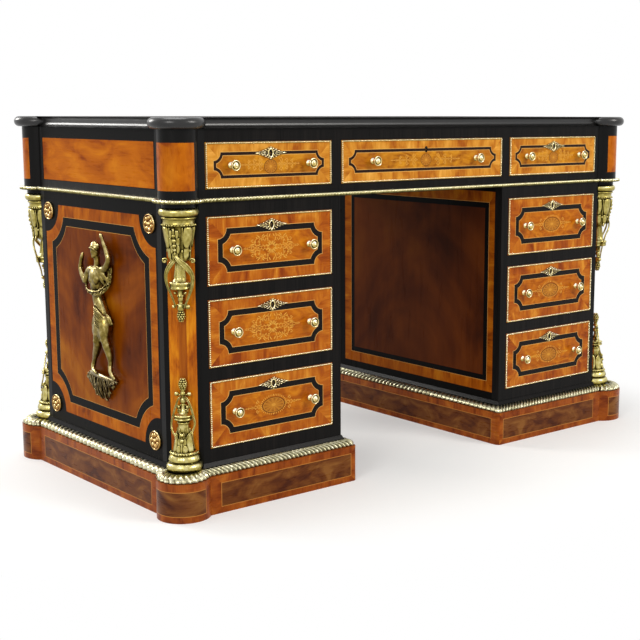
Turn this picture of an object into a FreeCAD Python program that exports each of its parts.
import FreeCAD, Part
import math
import os
import re

import Sketcher

# Pedestal writing desk: an ebonised and amboyna-veneered kneehole desk with gilt-bronze mounts.
# Origin: floor level, middle of the whole desk. +X right along the front, -Y towards the sitter, +Z up.

SIZES = {
    # Carcass, measured out from the middle of the kneehole
    "kneehole_half": 242.0,
    "stile_width": 22.4,
    "pedestal_drawer_width": 304.8,
    "outer_stile_width": 15.5,
    "cant": 52.3,
    "carcass_depth": 610.0,
    "board": 18.0,
    "rail_depth": 22.0,
    # Heights, floor upwards
    "plinth_height": 77.0,
    "bottom_rail_height": 48.2,
    "pedestal_drawer_height": 133.8,
    "rail_height": 25.2,
    "top_rail_height": 26.4,
    "frieze_floor_height": 24.0,
    "frieze_drawer_height": 88.6,
    "frieze_rail_height": 24.0,
    "top_height": 22.0,
    # Desk top and writing leather
    "top_overhang": 18.0,
    "top_corner_overhang": 16.0,
    "leather_margin": 62.0,
    "leather_thickness": 1.5,
    # Round corners of the frieze and the plinth
    "drum_radius": 38.5,
    "drum_inset": 20.0,
    "plinth_projection": 25.0,
    "plinth_drum_radius": 53.0,
    "plinth_drum_inset": 35.0,
    "plinth_corner_round": 10.0,
    # Gilt band under the frieze, gadroon and cove over the plinth
    "band_height": 8.5,
    "band_projection": 10.8,
    "gadroon_height": 14.0,
    "gadroon_edge_setback": 1.0,
    "gadroon_slope": 17.0,
    "cove_height": 8.0,
    "cove_projection": 5.0,
    # Drawer boxes
    "drawer_gap": 1.0,
    "box_setback": 1.0,
    "running_gap": 0.3,
    "front_thickness": 20.0,
    "side_thickness": 10.0,
    "back_thickness": 8.0,
    "bottom_thickness": 6.0,
    "bottom_raise": 4.0,
    "side_drop": 5.0,
    "pedestal_drawer_length": 560.0,
    "frieze_drawer_length": 540.0,
    # Runners and guides
    "runner_height": 14.0,
    "runner_reach": 12.0,
    "guide_height": 30.0,
    "guide_thickness": 12.0,
    "partition_width": 25.6,
    # Gilt bead round each drawer front
    "bead_width": 3.8,
    "bead_projection": 2.5,
    # Knobs and escutcheons
    "knob_radius": 10.5,
    "knob_projection": 22.0,
    "knob_spread": 94.0,
    "centre_knob_spread": 153.4,
    "escutcheon_drop": 22.5,
    "escutcheon_half_width": 38.0,
    "escutcheon_half_height": 12.0,
    "escutcheon_thickness": 1.6,
    "keyhole_radius": 2.4,
    "keyhole_slot_width": 2.2,
    "keyhole_slot_drop": 7.0,
    # Locks
    "lock_width": 50.0,
    "lock_height": 38.0,
    "lock_thickness": 10.0,
    "bolt_width": 14.0,
    "bolt_thickness": 5.0,
    "bolt_length": 24.0,
    "bolt_throw": 7.0,
    "mortise_gap": 1.0,
    # Corner mounts on the canted posts
    "collar_height": 7.4,
    "collar_radius": 33.0,
    "capital_radius": 38.5,
    "capital_drop": 222.0,
    "socle_radius": 34.5,
    "socle_height": 184.0,
    "stand_height": 11.0,
    "stand_radius": 37.0,
    "strap_radius": 3.0,
    # Relief figure and round bosses on the end panels
    "figure_height": 355.0,
    "figure_top": 537.0,
    "boss_radius": 20.0,
    "boss_thickness": 7.0,
    "boss_inset_along": 92.0,
    "boss_inset_high": 42.4,
    "boss_inset_low": 59.6,
}

doc = FreeCAD.newDocument("pedestal_desk")
sheet = doc.addObject("Spreadsheet::Sheet", "Sizes")
for row, (alias, number) in enumerate(SIZES.items(), start=1):
    sheet.set(f"A{row}", alias)
    sheet.set(f"B{row}", str(number))
    sheet.setAlias(f"B{row}", alias)
doc.recompute()

# Places worked out from the driving sizes
opening_inner = "(kneehole_half + stile_width)"
opening_outer = f"({opening_inner} + pedestal_drawer_width + 2 * drawer_gap)"
half_width = f"({opening_outer} + outer_stile_width + cant)"
plinth_half = f"({half_width} + plinth_projection)"
side_return = "(cant + outer_stile_width)"
drawer_pitch = "(pedestal_drawer_height + 2 * drawer_gap + rail_height)"
lower_opening = "(plinth_height + bottom_rail_height)"
middle_opening = f"({lower_opening} + {drawer_pitch})"
upper_opening = f"({middle_opening} + {drawer_pitch})"
frieze_bottom = f"({upper_opening} + pedestal_drawer_height + 2 * drawer_gap + top_rail_height)"
frieze_opening = f"({frieze_bottom} + frieze_floor_height)"
frieze_rail = f"({frieze_opening} + frieze_drawer_height + 2 * drawer_gap)"
top_underside = f"({frieze_rail} + frieze_rail_height)"
desk_height = f"({top_underside} + top_height)"
centre_half = f"({opening_inner} - partition_width)"

NODES = []


def bound(text):
    """Expression in which every named size points at its cell of the sheet."""
    return re.sub(r"[a-z]\w*", lambda word: "Sizes." + word[0] if word[0] in SIZES else word[0], text)


def number_of(text):
    """Present value of an expression, in mm."""
    return float(sheet.evalExpression(bound(text)))


def place(piece, x="0", y="0", z="0", rotation=None):
    """Binds the piece's place; the rotation comes first because it resets the base."""
    if rotation is not None:
        piece.Placement = FreeCAD.Placement(FreeCAD.Vector(), rotation)
    for axis, text in zip("xyz", (x, y, z)):
        piece.setExpression(f"Placement.Base.{axis}", bound(text))
    return piece


def board(name, x, y, z):
    """Squared board; x, y and z are its (low, high) planes."""
    piece = doc.addObject("Part::Box", name)
    for side, (low, high) in zip(("Length", "Width", "Height"), (x, y, z)):
        piece.setExpression(side, bound(f"({high}) - ({low})"))
    return place(piece, x[0], y[0], z[0])


def round_post(name, radius, centre, z):
    """Upright cylinder about a centre (x, y) between two heights."""
    piece = doc.addObject("Part::Cylinder", name)
    piece.setExpression("Radius", bound(radius))
    piece.setExpression("Height", bound(f"({z[1]}) - ({z[0]})"))
    return place(piece, centre[0], centre[1], z[0])


def mirrored(piece, across):
    """Mirror image in the desk's middle plane: x swaps left and right, y front and back."""
    image = doc.addObject("Part::Mirroring", f"{piece.Name}_{across}")
    image.Source = piece
    image.Normal = (1, 0, 0) if across == "x" else (0, 1, 0)
    if across == "y":
        image.setExpression("Base.y", bound("carcass_depth / 2"))
    return image


def both_sides(piece):
    return [piece, mirrored(piece, "x")]


def four_corners(piece):
    back = mirrored(piece, "y")
    return both_sides(piece) + both_sides(back)


def joined(name, pieces):
    if len(pieces) == 1:
        return pieces[0]
    whole = doc.addObject("Part::MultiFuse", name)
    whole.Shapes = pieces
    whole.Refine = True
    return whole


def cut(name, base, tools):
    """Base less its tools, which are joined first when there are several."""
    piece = doc.addObject("Part::Cut", name)
    piece.Base = base
    piece.Tool = joined(f"{name}_tools", tools)
    piece.Refine = True
    return piece


def node(name, pieces):
    """One sub-part of separate solids, moved from the drawer-front plane to the desk's middle."""
    group = doc.addObject("Part::Compound", f"{name}_node")
    group.Links = pieces
    group.Label = name
    NODES.append(place(group, y="-carcass_depth / 2"))


def outline(body, role, points):
    """Closed sketch on the body's own plane. A point is (x, y) or (x, y, bulge): the side that
    ends there is straight, or an arc that rises by bulge times half its chord, to its right."""
    sketch = body.newObject("Sketcher::SketchObject", f"{body.Name}_outline")
    plane = [feature for feature in body.Origin.OriginFeatures if feature.Role == role][0]
    sketch.AttachmentSupport = [(plane, "")]
    sketch.MapMode = "FlatFace"
    places = [FreeCAD.Vector(number_of(point[0]), number_of(point[1]), 0) for point in points]
    count = len(points)
    for index in range(count):
        start, end = places[index - 1], places[index]
        if len(points[index]) == 2:
            sketch.addGeometry(Part.LineSegment(start, end), False)
            continue
        half = (end - start) / 2
        side = FreeCAD.Vector(half.y, -half.x, 0) * points[index][2]
        sketch.addGeometry(Part.Arc(start, start + half + side, end), False)
    for index, (point, spot) in enumerate(zip(points, places)):
        curve_end = 2
        if len(point) == 3 and point[2] < 0:
            curve_end = 1
        for kind, text, distance in (("DistanceX", point[0], spot.x), ("DistanceY", point[1], spot.y)):
            rule = sketch.addConstraint(Sketcher.Constraint(kind, -1, 1, index, curve_end, distance))
            sketch.setExpression(f"Constraints[{rule}]", bound(text))
    for index, point in enumerate(points):
        following = points[(index + 1) % count]
        end = 1 if len(point) == 3 and point[2] < 0 else 2
        start = 2 if len(following) == 3 and following[2] < 0 else 1
        sketch.addConstraint(Sketcher.Constraint("Coincident", index, end, (index + 1) % count, start))
        if len(point) == 3 and abs(point[2]) == 1:
            sketch.addConstraint(Sketcher.Constraint("Symmetric", index, 1, index, 2, index, 3))
        elif len(point) == 3:
            before = points[index - 1]
            bulge = abs(point[2])
            chord = f"sqrt((({point[0]}) - ({before[0]}))^2 + (({point[1]}) - ({before[1]}))^2)"
            radius = f"{chord} * {(1 + bulge ** 2) / (4 * bulge):.6f}"
            rule = sketch.addConstraint(Sketcher.Constraint("Radius", index, number_of(radius)))
            sketch.setExpression(f"Constraints[{rule}]", bound(radius))
    return sketch


def padded(name, points, length, role="XY_Plane"):
    body = doc.addObject("PartDesign::Body", name)
    pad = body.newObject("PartDesign::Pad", f"{name}_pad")
    pad.Profile = outline(body, role, points)
    pad.setExpression("Length", bound(length))
    return body


def turned(name, points):
    """Solid of revolution about the body's own Z axis; points are (radius, height)."""
    body = doc.addObject("PartDesign::Body", name)
    sketch = outline(body, "XZ_Plane", points)
    revolution = body.newObject("PartDesign::Revolution", f"{name}_turning")
    revolution.Profile = sketch
    revolution.ReferenceAxis = (sketch, ["V_Axis"])
    return body


def scaled(shares, radius, height):
    """Outline written as shares of a turning's greatest radius and of its height."""
    points = []
    for share in shares:
        points.append((f"{share[0]} * {radius}", f"{share[1]} * {height}") + tuple(share[2:]))
    return points


# Plinths: boards between round corner blocks, with the pedestal's floor let in flush
plinth_centre = (f"-{plinth_half} + plinth_drum_inset", "-plinth_projection + plinth_drum_inset")
plinth_block = round_post("plinth_block", "plinth_drum_radius", plinth_centre, ("0", "plinth_height"))
node("plinth_corner_drums", four_corners(plinth_block))

inner_face = "-(kneehole_half - plinth_projection)"
inner_back = f"{inner_face} - board"
outer_back = f"-{plinth_half} + board"
plinth_front_y = ("-plinth_projection", "-plinth_projection + board")
plinth_front = board("plinth_front_blank", (f"-{plinth_half} + plinth_drum_inset", inner_face), plinth_front_y,
                     ("0", "plinth_height"))
rounded = doc.addObject("Part::Fillet", "plinth_front_rounded")
rounded.Base = plinth_front
doc.recompute()


def upright_edge(shape, x, y):
    """Number of the upright edge that stands at (x, y)."""
    for index, edge in enumerate(shape.Edges, start=1):
        box = edge.BoundBox
        if box.XLength + box.YLength < box.ZLength / 1000:
            if abs(box.XMin - x) + abs(box.YMin - y) < box.ZLength / 1000:
                return index
    raise ValueError("no upright edge at this corner")


corner_round = number_of("plinth_corner_round")
kneehole_edge = upright_edge(plinth_front.Shape, number_of(inner_face), number_of("-plinth_projection"))
rounded.Edges = [(kneehole_edge, corner_round, corner_round)]
plinth_front = cut("plinth_front", rounded, [plinth_block])
plinth_side = board("plinth_side_blank", (f"-{plinth_half}", outer_back),
                    ("-plinth_projection + plinth_drum_inset",
                     "carcass_depth + plinth_projection - plinth_drum_inset"), ("0", "plinth_height"))
plinth_side = cut("plinth_side", plinth_side, [plinth_block, mirrored(plinth_block, "y")])
plinth_inner = board("plinth_inner_side", (inner_back, inner_face),
                     ("-plinth_projection + board", "carcass_depth + plinth_projection - board"),
                     ("0", "plinth_height"))
plinth_set = [plinth_front, mirrored(plinth_front, "y"), plinth_side, plinth_inner]
node("plinth_boards", [piece for part in plinth_set for piece in both_sides(part)])

base_board = board("base_board_blank", (outer_back, inner_back),
                   ("-plinth_projection + board", "carcass_depth + plinth_projection - board"),
                   ("plinth_height - board", "plinth_height"))
base_board = cut("base_board", base_board, [plinth_block, mirrored(plinth_block, "y")])
node("pedestal_base_boards", both_sides(base_board))

# Pedestal cases: canted corner posts, panels, and a face frame of stiles and rails
case_z = ("plinth_height", frieze_bottom)
post_points = [
    (f"-{half_width}", "cant"),
    (f"-{half_width} + cant", "0"),
    (f"-{opening_outer}", "0"),
    (f"-{opening_outer}", "rail_depth"),
    (f"-{half_width} + board", side_return),
    (f"-{half_width}", side_return),
]
mount_axis = (f"-{half_width} + drum_inset", "drum_inset")
post_shaft = place(padded("post_shaft", post_points, f"{frieze_bottom} - plinth_height"), z="plinth_height")
stand_z = ("plinth_height", "plinth_height + stand_height")
post_stand = round_post("post_stand", "stand_radius", mount_axis, stand_z)
post_collar = round_post("post_collar", "collar_radius", mount_axis,
                         (f"{frieze_bottom} - collar_height", frieze_bottom))
inner_corner = board("post_inner_corner", (f"-{opening_outer}", f"-{opening_inner}"), ("0", "carcass_depth / 2"),
                     case_z)
end_clear = board("post_end_clear", (f"-{half_width} + board", f"-{opening_outer}"),
                  (side_return, "carcass_depth / 2"), case_z)
corner_post = cut("corner_post", joined("post_with_discs", [post_shaft, post_stand, post_collar]),
                  [inner_corner, end_clear])
node("pedestal_corner_posts", four_corners(corner_post))

panel_y = (side_return, f"carcass_depth - {side_return}")
end_panel = board("end_panel", (f"-{half_width}", f"-{half_width} + board"), panel_y, case_z)
node("pedestal_end_panels", both_sides(end_panel))
inner_side = board("inner_side", ("-kneehole_half - board", "-kneehole_half"),
                   ("rail_depth", "carcass_depth - board"), case_z)
node("pedestal_inner_sides", both_sides(inner_side))
back_panel = board("back_panel", (f"-{opening_outer}", "-kneehole_half"),
                   ("carcass_depth - board", "carcass_depth"), case_z)
node("pedestal_back_panels", both_sides(back_panel))

stile = board("stile", (f"-{opening_inner}", "-kneehole_half"), ("0", "rail_depth"), case_z)
face_frame = both_sides(stile)


def mortised_rail(name, x, z, bolt_middles):
    """Front rail whose underside is mortised over each bolt."""
    rail = board(f"{name}_blank", x, ("0", "rail_depth"), z)
    half = "(bolt_width / 2 + mortise_gap)"
    seat = f"({z[0]} - running_gap)"
    tools = []
    for index, middle in enumerate(bolt_middles):
        tools.append(board(f"{name}_mortise_{index}", (f"{middle} - {half}", f"{middle} + {half}"),
                           ("front_thickness - lock_thickness", "rail_depth - running_gap"),
                           (seat, f"{z[0]} + bolt_throw + mortise_gap")))
    return cut(name, rail, tools)


pedestal_middle = f"({opening_inner} + {opening_outer}) / 2"
rail_x = (f"-{opening_outer}", f"-{opening_inner}")
bottom_rail = board("bottom_rail", rail_x, ("0", "rail_depth"), ("plinth_height", lower_opening))
face_frame += both_sides(bottom_rail)
for level, opening in (("lower", lower_opening), ("middle", middle_opening), ("upper", upper_opening)):
    over = f"({opening} + pedestal_drawer_height + 2 * drawer_gap)"
    height = "top_rail_height" if level == "upper" else "rail_height"
    rail = mortised_rail(f"{level}_rail", rail_x, (over, f"{over} + {height}"), [f"-{pedestal_middle}"])
    face_frame += both_sides(rail)
node("pedestal_face_frames", face_frame)

# Runners carry the drawer sides; guides keep the drawers straight
slide_y = ("rail_depth", "carcass_depth - board")
runners = []
for level, opening in (("lower", lower_opening), ("middle", middle_opening), ("upper", upper_opening)):
    ledge_z = (f"{opening} - runner_height", opening)
    guide_z = (opening, f"{opening} + guide_height")
    runners.append(board(f"{level}_outer_runner", (f"-{half_width} + board", f"-{opening_outer} + runner_reach"),
                         panel_y, ledge_z))
    runners.append(board(f"{level}_inner_runner", (f"-{opening_inner} - runner_reach", "-kneehole_half - board"),
                         slide_y, ledge_z))
    runners.append(board(f"{level}_outer_guide", (f"-{opening_outer} - guide_thickness", f"-{opening_outer}"),
                         panel_y, guide_z))
    runners.append(board(f"{level}_inner_guide", (f"-{opening_inner}", "-kneehole_half - board"),
                         slide_y, guide_z))
runners.append(board("frieze_guide", (f"-{opening_outer} - guide_thickness", f"-{opening_outer}"), panel_y,
                     (frieze_opening, f"{frieze_opening} + guide_height")))
node("drawer_runners", [piece for part in runners for piece in both_sides(part)])

# Frieze: a floor board, boarded ends and back, a top rail and two partitions, with round corner blocks
drum_shaft = round_post("drum_shaft", "drum_radius", mount_axis, (frieze_bottom, top_underside))
frieze_post = place(padded("frieze_post", post_points, f"{top_underside} - {frieze_opening}"), z=frieze_opening)
drum_block = cut("drum_block", joined("drum_and_post", [drum_shaft, frieze_post]),
                 [board("drum_inner_clear", (f"-{opening_outer}", f"-{opening_inner}"), ("0", "carcass_depth / 2"),
                        (frieze_bottom, top_underside)),
                  board("drum_end_clear", (f"-{half_width} + board", f"-{opening_outer}"),
                        (side_return, "carcass_depth / 2"), (frieze_bottom, top_underside))])
node("frieze_corner_drums", four_corners(drum_block))

floor_blank = board("frieze_floor_blank", (f"-{half_width}", half_width), ("0", "carcass_depth"),
                    (frieze_bottom, frieze_opening))
node("frieze_floor", [cut("frieze_floor_board", floor_blank, four_corners(drum_shaft))])
frieze_z = (frieze_opening, top_underside)
frieze_end = board("frieze_end", (f"-{half_width}", f"-{half_width} + board"), panel_y, frieze_z)
node("frieze_ends", both_sides(frieze_end))
node("frieze_back", [board("frieze_back_board", (f"-{opening_outer}", opening_outer),
                           ("carcass_depth - board", "carcass_depth"), frieze_z)])
frieze_rail_x = (f"-{opening_outer}", opening_outer)
lock_middles = [f"-{pedestal_middle}", "0", pedestal_middle]
top_rail = mortised_rail("frieze_rail", frieze_rail_x, (frieze_rail, top_underside), lock_middles)
node("frieze_top_rail", [top_rail])
partition = board("partition", (f"-{opening_inner}", f"-{centre_half}"), ("0", "carcass_depth - board"),
                  (frieze_opening, frieze_rail))
node("frieze_partitions", both_sides(partition))

# Desk top: two crossed slabs with a rounded edge and a moulded disc over each corner drum
edge_half = "top_height / 2"


def slab(name, low, high, role, length, start):
    """Slab with half-round long edges between two planes."""
    body = doc.addObject("PartDesign::Body", name)
    pad = body.newObject("PartDesign::Pad", f"{name}_pad")
    points = [(f"{low} + {edge_half}", "top_height"), (f"{low} + {edge_half}", "0", -1),
              (f"{high} - {edge_half}", "0"), (f"{high} - {edge_half}", "top_height", 1)]
    pad.Profile = outline(body, role, points)
    pad.setExpression("Length", bound(length))
    pad.Midplane = True
    return place(body, *start)


long_slab = slab("long_slab", "-top_overhang", "carcass_depth + top_overhang", "YZ_Plane",
                 f"2 * ({half_width} - drum_inset)", ("0", "0", top_underside))
deep_slab = slab("deep_slab", f"-{half_width} - top_overhang", f"{half_width} + top_overhang", "XZ_Plane",
                 "carcass_depth - 2 * drum_inset", ("0", "carcass_depth / 2", top_underside))
disc_radius = "(drum_radius + top_corner_overhang)"
disc_points = [("0", "0"), (f"{disc_radius} - {edge_half}", "0"),
               (f"{disc_radius} - {edge_half}", "top_height", 1), ("0", "top_height")]
corner_disc = place(turned("corner_disc", disc_points), mount_axis[0], mount_axis[1], top_underside)
top_blank = joined("top_blank", [long_slab, deep_slab] + four_corners(corner_disc))
leather_x = (f"-{half_width} - top_overhang + leather_margin", f"{half_width} + top_overhang - leather_margin")
leather_y = ("leather_margin - top_overhang", "carcass_depth + top_overhang - leather_margin")
leather_z = (f"{desk_height} - leather_thickness", desk_height)
leather_bed = board("leather_bed", leather_x, leather_y, (leather_z[0], f"{desk_height} + leather_thickness"))
node("desk_top", [cut("top_board", top_blank, [leather_bed])])
node("writing_leather", [board("leather_panel", leather_x, leather_y, leather_z)])

# Gilt band under the frieze, bowed round the corner drums
band_z = (f"{frieze_bottom}", f"{frieze_bottom} + band_height")
band_outer = board("band_outer", (f"-{half_width} - band_projection", f"{half_width} + band_projection"),
                   ("-band_projection", "carcass_depth + band_projection"), band_z)
band_drum = round_post("band_drum", "drum_radius + band_projection", mount_axis, band_z)
band_core = board("band_core", (f"-{half_width}", half_width), ("0", "carcass_depth"), band_z)
band_whole = joined("band_whole", [band_outer] + four_corners(band_drum))
band_inside = joined("band_inside", [band_core] + four_corners(drum_shaft))
node("gilt_band", [cut("band_ring", band_whole, [band_inside])])


def sloped_ring(name, z, wide, narrow, core, corner_wide, corner_narrow):
    """Moulding that stands round the left pedestal: its face leans in from the plinth to the case,
    and a cone of the same lean turns each outer corner."""
    lean = doc.addObject("Part::Wedge", f"{name}_lean")
    for prop, text in (("Xmin", f"-{half_width} - ({wide})"), ("Xmax", f"-kneehole_half + ({wide})"),
                       ("X2min", f"-{half_width} - ({narrow})"), ("X2max", f"-kneehole_half + ({narrow})"),
                       ("Zmin", f"-({wide})"), ("Zmax", f"carcass_depth + ({wide})"),
                       ("Z2min", f"-({narrow})"), ("Z2max", f"carcass_depth + ({narrow})"),
                       ("Ymin", "0"), ("Ymax", f"({z[1]}) - ({z[0]})")):
        lean.setExpression(prop, bound(text))
    place(lean, "0", "carcass_depth", z[0], FreeCAD.Rotation(FreeCAD.Vector(1, 0, 0), 90))
    pieces = [lean]
    if corner_wide:
        cone = doc.addObject("Part::Cone", f"{name}_corner")
        cone.setExpression("Radius1", bound(corner_wide))
        cone.setExpression("Radius2", bound(corner_narrow))
        cone.setExpression("Height", bound(f"({z[1]}) - ({z[0]})"))
        place(cone, plinth_centre[0], plinth_centre[1], z[0])
        pieces += [cone, mirrored(cone, "y")]
    stand = round_post(f"{name}_stand", "stand_radius", mount_axis, (z[0], f"{z[1]} + collar_height"))
    tools = [board(f"{name}_core", (f"-{half_width}", "-kneehole_half"), ("0", "carcass_depth"), core),
             stand, mirrored(stand, "y")]
    return cut(name, joined(f"{name}_whole", pieces), tools)


gadroon_z = ("plinth_height", "plinth_height + gadroon_height")
gadroon_wide = "plinth_projection - gadroon_edge_setback"
gadroon = sloped_ring("gadroon", gadroon_z, gadroon_wide, f"{gadroon_wide} - gadroon_slope", gadroon_z,
                      "plinth_drum_radius - gadroon_edge_setback",
                      "plinth_drum_radius - gadroon_edge_setback - gadroon_slope")
node("gadroon_mouldings", both_sides(gadroon))
cove_z = (gadroon_z[1], f"{gadroon_z[1]} + cove_height")
cove = sloped_ring("cove", cove_z, "cove_projection", "cove_projection / 4", cove_z, None, None)
node("cove_mouldings", both_sides(cove))

# Corner mounts, built about their own axis and cut flat against the canted post
CAPITAL_SHARES = [
    (0.0, 0.0), (0.765, 0.0), (0.765, -0.081, -1), (0.86, -0.083), (0.86, -0.099), (0.79, -0.1),
    (0.77, -0.133), (0.81, -0.135), (0.81, -0.151), (0.75, -0.156), (0.56, -0.39), (0.47, -0.437),
    (0.26, -0.455), (0.25, -0.5), (0.3, -0.61), (0.34, -0.637), (0.54, -0.645), (0.54, -0.70), (0.22, -0.72),
    (0.2, -0.745), (0.12, -0.76), (0.12, -0.8), (0.19, -0.84), (0.19, -0.87), (0.13, -0.895), (0.22, -0.92),
    (0.06, -1.0), (0.0, -1.0),
]
SOCLE_SHARES = [
    (0.0, 0.0), (0.82, 0.01), (0.82, 0.12, 0.6), (0.93, 0.13), (0.78, 0.19, 0.3), (0.8, 0.2),
    (0.8, 0.228), (0.5, 0.235), (0.4, 0.34), (0.32, 0.42), (0.31, 0.505), (0.36, 0.51), (0.36, 0.535),
    (0.3, 0.54), (0.54, 0.555), (0.54, 0.61), (0.2, 0.65), (0.14, 0.7), (0.16, 0.73), (0.16, 0.79),
    (0.1, 0.81), (0.17, 0.83), (0.17, 0.86), (0.1, 0.875), (0.16, 0.9), (0.05, 1.0), (0.0, 1.0),
]


def on_mount(station):
    """Point of a mount from its station: across the cant, out from the axis, up along it."""
    across, out, up = station
    slope = 1 / math.sqrt(2)
    return FreeCAD.Vector(slope * (across - out), -slope * (across + out), up)


def strap(name, stations, radius):
    """Round strap through the stations, along arcs that each set off where the last one points."""
    spots = [on_mount(station) for station in stations]
    first = Part.Arc(*spots[0:3]).toShape()
    arcs = [first]
    heading = first.tangentAt(first.LastParameter)
    for start, end in zip(spots[2:], spots[3:]):
        span = (end - start).Length
        chord = (end - start) / span
        bisector = heading + chord
        arcs.append(Part.Arc(start, start + bisector * (span / bisector.Length ** 2), end).toShape())
        heading = chord * (2 * heading.dot(chord)) - heading
    path = Part.Wire(arcs)
    section = Part.Wire([Part.makeCircle(radius, spots[0], first.tangentAt(first.FirstParameter))])
    piece = doc.addObject("Part::Feature", name)
    piece.Shape = path.makePipeShell([section], True, False)
    return piece


def berry(name, station, radius):
    """Cast ball at a station of the mount."""
    piece = doc.addObject("Part::Sphere", name)
    piece.Radius = radius
    piece.Placement.Base = on_mount(station)
    return piece


def spindle(name, start, end, start_radius, end_radius):
    """Tapered round bar between two stations of the mount."""
    low, high = on_mount(start), on_mount(end)
    piece = doc.addObject("Part::Feature", name)
    if start_radius == end_radius:
        piece.Shape = Part.makeCylinder(start_radius, (high - low).Length, low, high - low)
    else:
        piece.Shape = Part.makeCone(start_radius, end_radius, (high - low).Length, low, high - low)
    return piece


def stations(shares, radius, height, side=1):
    """Stations written as shares of a mount's radius and height; side -1 mirrors them."""
    return [(side * across * radius, out * radius, up * height) for across, out, up in shares]


def mount(name, pieces, z):
    """Joined casting, cut to lie on the cant and set at its height on the post."""
    back = "((cant - 2 * drum_inset) / sqrt(2))"
    reach = "(4 * capital_radius)"
    wall = doc.addObject("Part::Box", f"{name}_wall")
    for side, text in (("Length", reach), ("Width", reach), ("Height", "4 * capital_drop")):
        wall.setExpression(side, bound(text))
    place(wall, f"({back} + {reach} / 2) / sqrt(2)", f"({back} - {reach} / 2) / sqrt(2)", "-2 * capital_drop",
          FreeCAD.Rotation(FreeCAD.Vector(0, 0, 1), 45))
    casting = cut(f"{name}_casting", joined(f"{name}_rough", pieces), [wall])
    return place(casting, mount_axis[0], mount_axis[1], z)


capital_radius = number_of("capital_radius")
capital_drop = number_of("capital_drop")
strap_radius = number_of("strap_radius")
# Two straps leave the capital's body, cross in front of its bell, one over the other, bow out
# round the plate and come in again to the berries; a curl turns out above them on each side
OVER_SHARES = [(-0.25, 0.5, -0.37), (0.1, 0.66, -0.44), (0.44, 0.58, -0.5), (0.7, 0.34, -0.585),
               (0.62, 0.21, -0.69), (0.34, 0.12, -0.845)]
UNDER_SHARES = [(-0.16, 0.38, -0.385), (0.1, 0.48, -0.44), (0.42, 0.48, -0.497), (0.65, 0.32, -0.58),
                (0.59, 0.2, -0.69), (0.34, 0.12, -0.845)]
CURL_SHARES = [(0.4, 0.2, -0.41), (0.6, 0.2, -0.465), (0.76, 0.2, -0.44)]
CAPITAL_CROSS_SHARES = [(-0.36, 0.08, -0.855), (0.36, 0.08, -0.855)]
capital_berry_share = 0.13
capital_pieces = [
    turned("capital_turning", scaled(CAPITAL_SHARES, "capital_radius", "capital_drop")),
    strap("strap_over", stations(OVER_SHARES, capital_radius, capital_drop), strap_radius),
    strap("strap_under", stations(UNDER_SHARES, capital_radius, capital_drop, -1), strap_radius),
]
cross_left, cross_right = stations(CAPITAL_CROSS_SHARES, capital_radius, capital_drop)
capital_pieces.append(spindle("capital_cross", cross_left, cross_right, strap_radius, strap_radius))
for hand, side, cross_end in (("left", -1, cross_left), ("right", 1, cross_right)):
    curl = stations(CURL_SHARES, capital_radius, capital_drop, side)
    capital_pieces.append(strap(f"capital_curl_{hand}", curl, strap_radius))
    capital_pieces.append(berry(f"capital_berry_{hand}", cross_end, capital_berry_share * capital_radius))
capital = mount("capital", capital_pieces, f"{frieze_bottom} - collar_height")
node("upper_corner_mounts", four_corners(capital))

# The socle carries a leaf on each flank of its body, a ribbon bow, and berries under its finial
socle_radius = number_of("socle_radius")
socle_height = number_of("socle_height")
BOW_SHARES = [(0.1, 0.14, 0.80), (0.44, 0.22, 0.71), (0.66, 0.26, 0.56), (0.54, 0.3, 0.46),
              (0.2, 0.38, 0.39)]
LEAF_SHARES = [(0.48, 0.15, 0.235), (0.56, 0.15, 0.4)]
SOCLE_CROSS_SHARES = [(-0.36, 0.08, 0.837), (0.36, 0.08, 0.837)]
leaf_foot_share, leaf_tip_share, socle_berry_share = 0.28, 0.16, 0.13
socle_pieces = [turned("socle_turning", scaled(SOCLE_SHARES, "socle_radius", "socle_height"))]
cross_left, cross_right = stations(SOCLE_CROSS_SHARES, socle_radius, socle_height)
socle_pieces.append(spindle("socle_cross", cross_left, cross_right, strap_radius, strap_radius))
for hand, side, cross_end in (("left", -1, cross_left), ("right", 1, cross_right)):
    bow = stations(BOW_SHARES, socle_radius, socle_height, side)
    leaf_foot, leaf_tip = stations(LEAF_SHARES, socle_radius, socle_height, side)
    socle_pieces.append(strap(f"socle_bow_{hand}", bow, strap_radius / 2))
    socle_pieces.append(spindle(f"socle_leaf_{hand}", leaf_foot, leaf_tip, leaf_foot_share * socle_radius,
                                leaf_tip_share * socle_radius))
    socle_pieces.append(berry(f"socle_berry_{hand}", cross_end, socle_berry_share * socle_radius))
node("lower_corner_mounts", four_corners(mount("socle", socle_pieces, "plinth_height + stand_height")))

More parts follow.
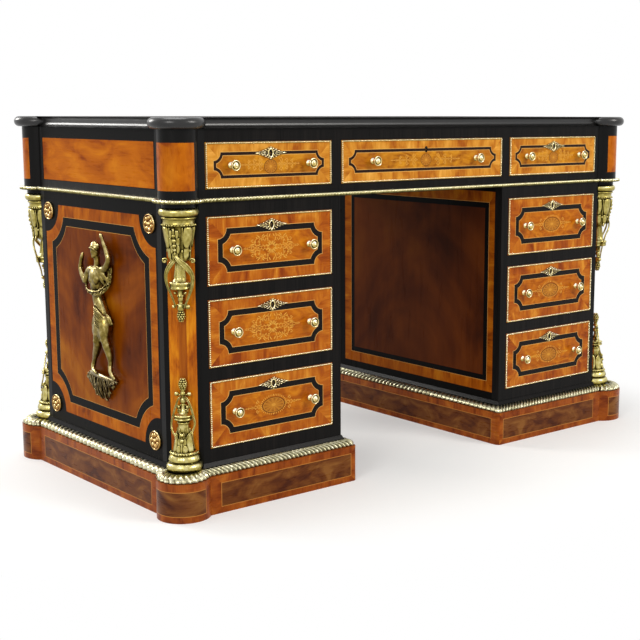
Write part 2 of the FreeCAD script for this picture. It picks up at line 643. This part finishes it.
# Dancing figure in relief on its leafy bracket, flat behind where it lies on the end panel
FIGURE_SHARES = {
    # joint: (along the panel towards the back, down from the raised hand, out from the panel, radius)
    "head": (-0.055, 0.108, 0.055, 0.041), "neck": (-0.055, 0.178, 0.048, 0.021),
    "left_chest": (-0.005, 0.252, 0.035, 0.054), "right_chest": (-0.09, 0.248, 0.035, 0.054),
    "left_waist": (-0.03, 0.365, 0.035, 0.045), "right_waist": (-0.078, 0.367, 0.036, 0.046),
    "left_hip": (-0.06, 0.472, 0.04, 0.055), "right_hip": (-0.12, 0.474, 0.041, 0.056),
    "drape_knot": (-0.16, 0.51, 0.025, 0.032), "drape_point": (0.11, 0.572, 0.014, 0.027),
    "right_shoulder": (-0.135, 0.215, 0.04, 0.028), "right_elbow": (-0.188, 0.14, 0.045, 0.021),
    "right_wrist": (-0.14, 0.052, 0.042, 0.015), "right_hand": (-0.106, 0.017, 0.04, 0.018),
    "left_shoulder": (0.045, 0.232, 0.04, 0.028), "left_elbow": (0.092, 0.302, 0.045, 0.021),
    "left_wrist": (0.145, 0.225, 0.042, 0.015), "left_hand": (0.122, 0.145, 0.04, 0.018),
    "right_knee": (-0.15, 0.615, 0.05, 0.034), "right_ankle": (-0.156, 0.775, 0.032, 0.017),
    "right_toe": (-0.212, 0.837, 0.04, 0.015),
    "left_knee": (-0.026, 0.63, 0.055, 0.034), "left_ankle": (0.044, 0.788, 0.032, 0.017),
    "left_toe": (-0.004, 0.833, 0.045, 0.015),
    "console_left": (0.075, 0.862, 0.0, 0.028), "console_right": (-0.205, 0.865, 0.0, 0.028),
    "console_middle": (-0.065, 0.885, 0.012, 0.05), "console_foot": (-0.07, 0.975, 0.0, 0.026),
}
LIMBS = [
    ("head", "neck"), ("neck", "left_chest"), ("neck", "right_chest"), ("left_chest", "left_waist"),
    ("right_chest", "right_waist"), ("left_waist", "left_hip"), ("right_waist", "right_hip"),
    ("right_hip", "drape_knot"), ("left_hip", "drape_point"), ("right_shoulder", "right_elbow"),
    ("right_elbow", "right_wrist"), ("right_wrist", "right_hand"), ("left_shoulder", "left_elbow"),
    ("left_elbow", "left_wrist"), ("left_wrist", "left_hand"),
    ("right_hip", "right_knee"), ("right_knee", "right_ankle"), ("right_ankle", "right_toe"),
    ("left_hip", "left_knee"), ("left_knee", "left_ankle"), ("left_ankle", "left_toe"),
    ("right_toe", "console_right"), ("left_toe", "console_left"),
    ("console_left", "console_middle"), ("console_right", "console_middle"),
    ("console_middle", "console_foot"),
]


def relief_figure(name):
    """Rounded limbs, each a cone between two joint spheres, fused and cut flat at the panel."""
    height = number_of("figure_height")
    face = -number_of(half_width)
    middle = number_of("carcass_depth / 2")
    top = number_of("figure_top")
    joints = {}
    for joint, (along, down, out, radius) in FIGURE_SHARES.items():
        spot = FreeCAD.Vector(face - out * height, middle + along * height, top - down * height)
        joints[joint] = (spot, radius * height)
    solids = [Part.makeSphere(radius, spot) for spot, radius in joints.values()]
    for start, end in LIMBS:
        (low, low_radius), (high, high_radius) = joints[start], joints[end]
        axis = high - low
        if abs(low_radius - high_radius) < low_radius / 100:
            solids.append(Part.makeCylinder(low_radius, axis.Length, low, axis))
        else:
            solids.append(Part.makeCone(low_radius, high_radius, axis.Length, low, axis))
    body = solids[0].multiFuse(solids[1:])
    wall_corner = FreeCAD.Vector(face, middle - height, top - 3 * height / 2)
    wall = Part.makeBox(height, 2 * height, 2 * height, wall_corner)
    piece = doc.addObject("Part::Feature", name)
    piece.Shape = body.cut(wall).removeSplitter()
    return piece


figure = relief_figure("relief_figure")
node("end_figures", both_sides(figure))

# Round gilt bosses in the notched corners of the end panels
BOSS_SHARES = [(0.0, 0.0), (1.0, 0.0), (1.0, 0.35), (0.8, 0.8), (0.55, 0.4), (0.35, 0.9), (0.15, 1.0),
               (0.0, 1.0)]
sideways = FreeCAD.Rotation(FreeCAD.Vector(0, 1, 0), -90)
bosses = []
boss_heights = {"high": f"{frieze_bottom} - boss_inset_high", "low": "plinth_height + boss_inset_low"}
for level, height in boss_heights.items():
    boss = turned(f"{level}_boss", scaled(BOSS_SHARES, "boss_radius", "boss_thickness"))
    place(boss, f"-{half_width}", "boss_inset_along", height, sideways)
    bosses += four_corners(boss)
node("end_bosses", bosses)

# Drawers: front, dovetailed box, brasses and the lock's bolt
KNOB_SHARES = [
    (0.0, 0.0), (1.0, 0.0), (0.9, 0.1), (0.42, 0.2), (0.42, 0.48), (0.92, 0.6), (1.0, 0.74), (0.8, 0.9),
    (0.4, 0.88), (0.3, 1.0), (0.0, 1.0),
]
ESCUTCHEON_SHARES = [
    (-1.0, 0.0), (-0.3, -0.55, -0.15), (-0.2, -1.0, 0.3), (0.2, -1.0, 0.3), (0.3, -0.55, 0.3), (1.0, 0.0, -0.15),
    (0.3, 0.55, -0.15), (0.2, 1.0, 0.3), (-0.2, 1.0, 0.3), (-0.3, 0.55, 0.3),
]
facing = FreeCAD.Rotation(FreeCAD.Vector(1, 0, 0), 90)


def drawer(name, x, opening, height, length, spread, plate):
    """One drawer in its opening: x holds the front's (left, right) edges, opening the floor it runs on."""
    left, right = x
    middle = f"(({left}) + ({right})) / 2"
    bottom = f"({opening} + drawer_gap)"
    top = f"({bottom} + {height})"
    key_z = f"({top} - escutcheon_drop)"

    lock_x = (f"{middle} - lock_width / 2", f"{middle} + lock_width / 2")
    lock_y = ("front_thickness - lock_thickness", "front_thickness")
    lock_z = (f"{top} - lock_height", top)
    pocket = board(f"{name}_pocket", lock_x, lock_y, lock_z)
    key_round = doc.addObject("Part::Cylinder", f"{name}_key_round")
    key_round.setExpression("Radius", bound("keyhole_radius"))
    key_round.setExpression("Height", bound("front_thickness"))
    place(key_round, middle, "front_thickness - lock_thickness", key_z, facing)
    key_slot = board(f"{name}_key_slot", (f"{middle} - keyhole_slot_width / 2", f"{middle} + keyhole_slot_width / 2"),
                     ("-lock_thickness", "front_thickness - lock_thickness"),
                     (f"{key_z} - keyhole_slot_drop", key_z))
    keyhole = joined(f"{name}_keyhole", [key_round, key_slot])
    blank = board(f"{name}_blank", x, ("0", "front_thickness"), (bottom, top))
    node(f"{name}_front", [cut(f"{name}_front_board", blank, [pocket, keyhole])])

    side_z = (f"{opening} + running_gap", f"{top} - side_drop")
    side_y = ("front_thickness", length)
    inner = (f"{left} + box_setback + side_thickness", f"{right} - box_setback - side_thickness")
    floor_z = (f"{side_z[0]} + bottom_raise", f"{side_z[0]} + bottom_raise + bottom_thickness")
    node(f"{name}_box", [
        board(f"{name}_left_side", (f"{left} + box_setback", inner[0]), side_y, side_z),
        board(f"{name}_right_side", (inner[1], f"{right} - box_setback"), side_y, side_z),
        board(f"{name}_bottom", inner, side_y, floor_z),
        board(f"{name}_back", inner, (f"{length} - back_thickness", length), (floor_z[1], side_z[1])),
    ])

    bead_y = ("-bead_projection", "0")
    brasses = [
        board(f"{name}_top_bead", x, bead_y, (f"{top} - bead_width", top)),
        board(f"{name}_bottom_bead", x, bead_y, (bottom, f"{bottom} + bead_width")),
        board(f"{name}_left_bead", (left, f"{left} + bead_width"), bead_y,
              (f"{bottom} + bead_width", f"{top} - bead_width")),
        board(f"{name}_right_bead", (f"{right} - bead_width", right), bead_y,
              (f"{bottom} + bead_width", f"{top} - bead_width")),
    ]
    for hand, sign in (("left", "-"), ("right", "+")):
        knob = turned(f"{name}_{hand}_knob", scaled(KNOB_SHARES, "knob_radius", "knob_projection"))
        brasses.append(place(knob, f"{middle} {sign} {spread}", "0", f"{bottom} + {height} / 2", facing))
    if plate:
        blank = padded(f"{name}_plate_blank", scaled(ESCUTCHEON_SHARES, "escutcheon_half_width",
                                                     "escutcheon_half_height"), "escutcheon_thickness")
        place(blank, middle, "0", key_z, facing)
        brasses.append(cut(f"{name}_plate", blank, [keyhole]))
    channel_x = (f"{middle} - bolt_width / 2 - running_gap", f"{middle} + bolt_width / 2 + running_gap")
    bolt_y = ("front_thickness - lock_thickness / 2 - bolt_thickness / 2",
              "front_thickness - lock_thickness / 2 + bolt_thickness / 2")
    channel = board(f"{name}_channel", channel_x, (f"{bolt_y[0]} - running_gap", f"{bolt_y[1]} + running_gap"),
                    (f"{top} - bolt_length - running_gap", f"{top} + running_gap"))
    lock_case = board(f"{name}_lock_blank", lock_x, lock_y, lock_z)
    brasses.append(cut(f"{name}_lock_case", lock_case, [channel]))
    node(f"{name}_brasses", brasses)
    node(f"{name}_bolt", [board(f"{name}_bolt_bar", (f"{middle} - bolt_width / 2", f"{middle} + bolt_width / 2"),
                                bolt_y, (f"{top} - bolt_length", top))])


left_x = (f"-{opening_outer} + drawer_gap", f"-{opening_inner} - drawer_gap")
right_x = (f"{opening_inner} + drawer_gap", f"{opening_outer} - drawer_gap")
centre_x = (f"-{centre_half} + drawer_gap", f"{centre_half} - drawer_gap")
frieze_kind = (frieze_opening, "frieze_drawer_height", "frieze_drawer_length")
drawer("left_frieze", left_x, *frieze_kind, "knob_spread", True)
drawer("centre_frieze", centre_x, *frieze_kind, "centre_knob_spread", False)
drawer("right_frieze", right_x, *frieze_kind, "knob_spread", True)
for level, opening in (("upper", upper_opening), ("middle", middle_opening), ("lower", lower_opening)):
    pedestal_kind = (opening, "pedestal_drawer_height", "pedestal_drawer_length")
    drawer(f"left_{level}", left_x, *pedestal_kind, "knob_spread", True)
    drawer(f"right_{level}", right_x, *pedestal_kind, "knob_spread", True)

doc.recompute()
faults = [thing.Name for thing in doc.Objects if "Invalid" in thing.State or "Error" in thing.State]
for group in NODES:
    shape = group.Shape
    if shape.isNull() or not shape.isValid() or not shape.Solids:
        faults.append(group.Label)
if faults:
    raise RuntimeError("failed: " + ", ".join(faults))
os.makedirs("parts", exist_ok=True)
for group in NODES:
    group.Shape.exportStep(f"parts/{group.Label}.step")
print(len(NODES), "nodes,", sum(len(group.Shape.Solids) for group in NODES), "solids")
